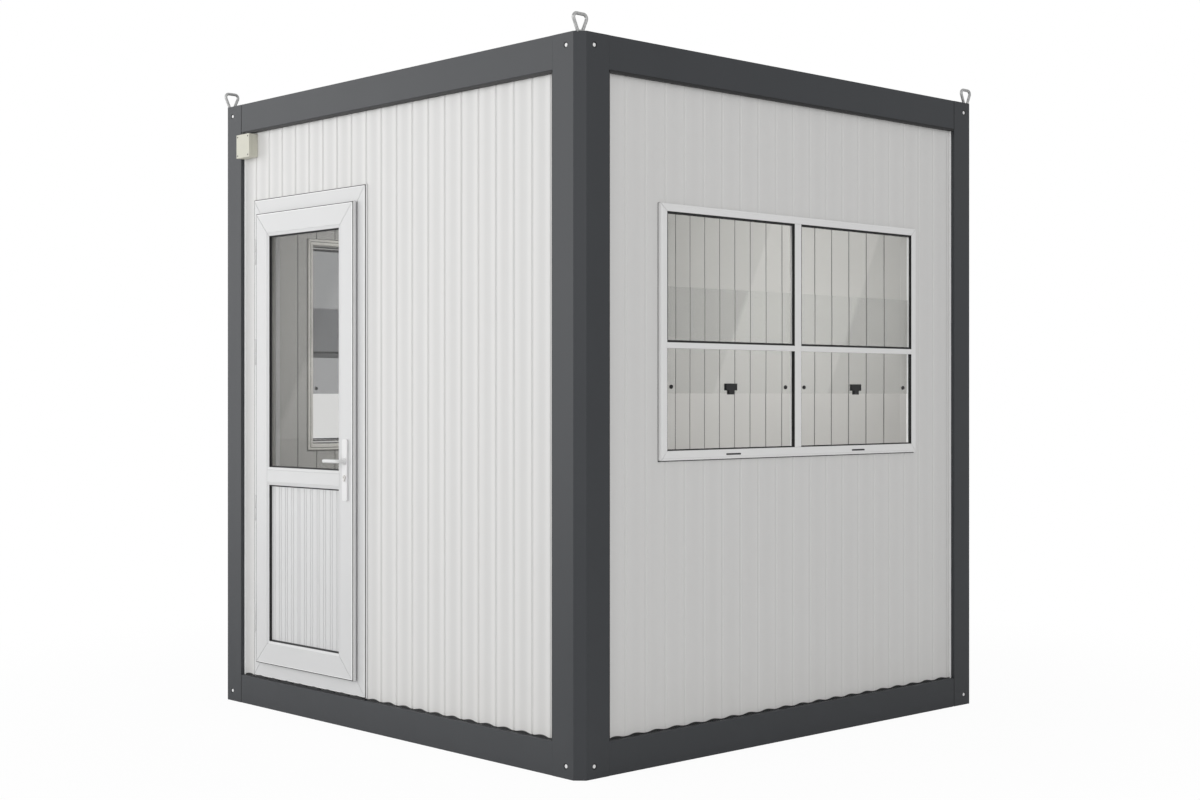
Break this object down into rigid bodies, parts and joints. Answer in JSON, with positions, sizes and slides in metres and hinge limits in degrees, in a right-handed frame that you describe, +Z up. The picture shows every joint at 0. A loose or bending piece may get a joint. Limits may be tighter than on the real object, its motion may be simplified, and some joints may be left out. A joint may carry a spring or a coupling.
{
  "type": "security guard booth",
  "caption": "Square prefabricated guard booth of dark steel corner profiles and white ribbed panels, with a glazed door, lifting service windows and crane rings.",
  "frame": {"origin": "centre of the square base at ground level", "axes": "+Z up; -Y out of the door wall, the front; +X out of the service window wall, on the right"},
  "size_m": [2.3, 2.376, 2.642],
  "materials": {
    "frame_paint": "satin anthracite powder coat",
    "wall_sheet": "satin off-white coated sheet with fine vertical ribs",
    "ceiling_sheet": "satin off-white coated sheet",
    "roof_metal": "light grey coated trapezoid sheet",
    "floor_steel": "satin anthracite paint",
    "floor_board": "coated board",
    "door_pvc": "smooth white PVC",
    "window_pvc": "smooth white PVC",
    "clear_glass": "clear glass",
    "black_rubber": "matt black rubber",
    "handle_paint": "white coated metal",
    "lock_metal": "satin nickel",
    "black_plastic": "matt black plastic",
    "ring_steel": "galvanised steel",
    "box_plastic": "ivory plastic",
    "gland_plastic": "dark grey plastic"
  },
  "bodies": {
    "cabin": {"back_wall": "wall_sheet", "bottom_rail_back": "frame_paint", "bottom_rail_front": "frame_paint", "bottom_rail_left": "frame_paint", "bottom_rail_right": "frame_paint", "cable_box": "box_plastic", "cable_gland": "gland_plastic", "ceiling_panel": "ceiling_sheet", "corner_post_back_left": "frame_paint", "corner_post_back_right": "frame_paint", "corner_post_front_left": "frame_paint", "corner_post_front_right": "frame_paint", "door_frame": "door_pvc", "door_hinges_frame": "door_pvc", "floor_deck": "floor_board", "floor_joists": "floor_steel", "front_wall_left": "wall_sheet", "front_wall_over_door": "wall_sheet", "front_wall_right": "wall_sheet", "front_wall_under_door": "wall_sheet", "left_wall": "wall_sheet", "lifting_rings": "ring_steel", "right_wall": "wall_sheet", "roof_sheet": "roof_metal", "service_window_frame": "window_pvc", "service_window_glass": "clear_glass", "service_window_sashes": "clear_glass", "side_window_frame": "window_pvc", "side_window_glass": "clear_glass", "side_window_sashes": "clear_glass", "top_rail_back": "frame_paint", "top_rail_front": "frame_paint", "top_rail_left": "frame_paint", "top_rail_right": "frame_paint", "window_gaskets": "black_rubber", "window_latches": "black_plastic"},
    "door": {"door_leaf": "door_pvc", "door_glass": "clear_glass", "door_panel": "door_pvc", "door_glazing_beads": "door_pvc", "door_gaskets": "black_rubber", "door_hinges_leaf": "door_pvc", "door_handle_plates": "handle_paint", "door_lock_cylinder": "lock_metal"},
    "handle": {"door_handle": "handle_paint"}
  },
  "joints": [
    {"name": "door_swing", "type": "hinge", "parent": "cabin", "child": "door", "pos_m": [-0.881, -1.155, 1.15], "axis": [0, 0, -1], "range_deg": [0, 100]},
    {"name": "handle_turn", "type": "hinge", "parent": "door", "child": "handle", "pos_m": [-0.209, -1.172, 1.061], "axis": [0, -1, 0], "range_deg": [0, 40], "stiffness_Nm_per_rad": 1, "springref_deg": -34.38}
  ]
}
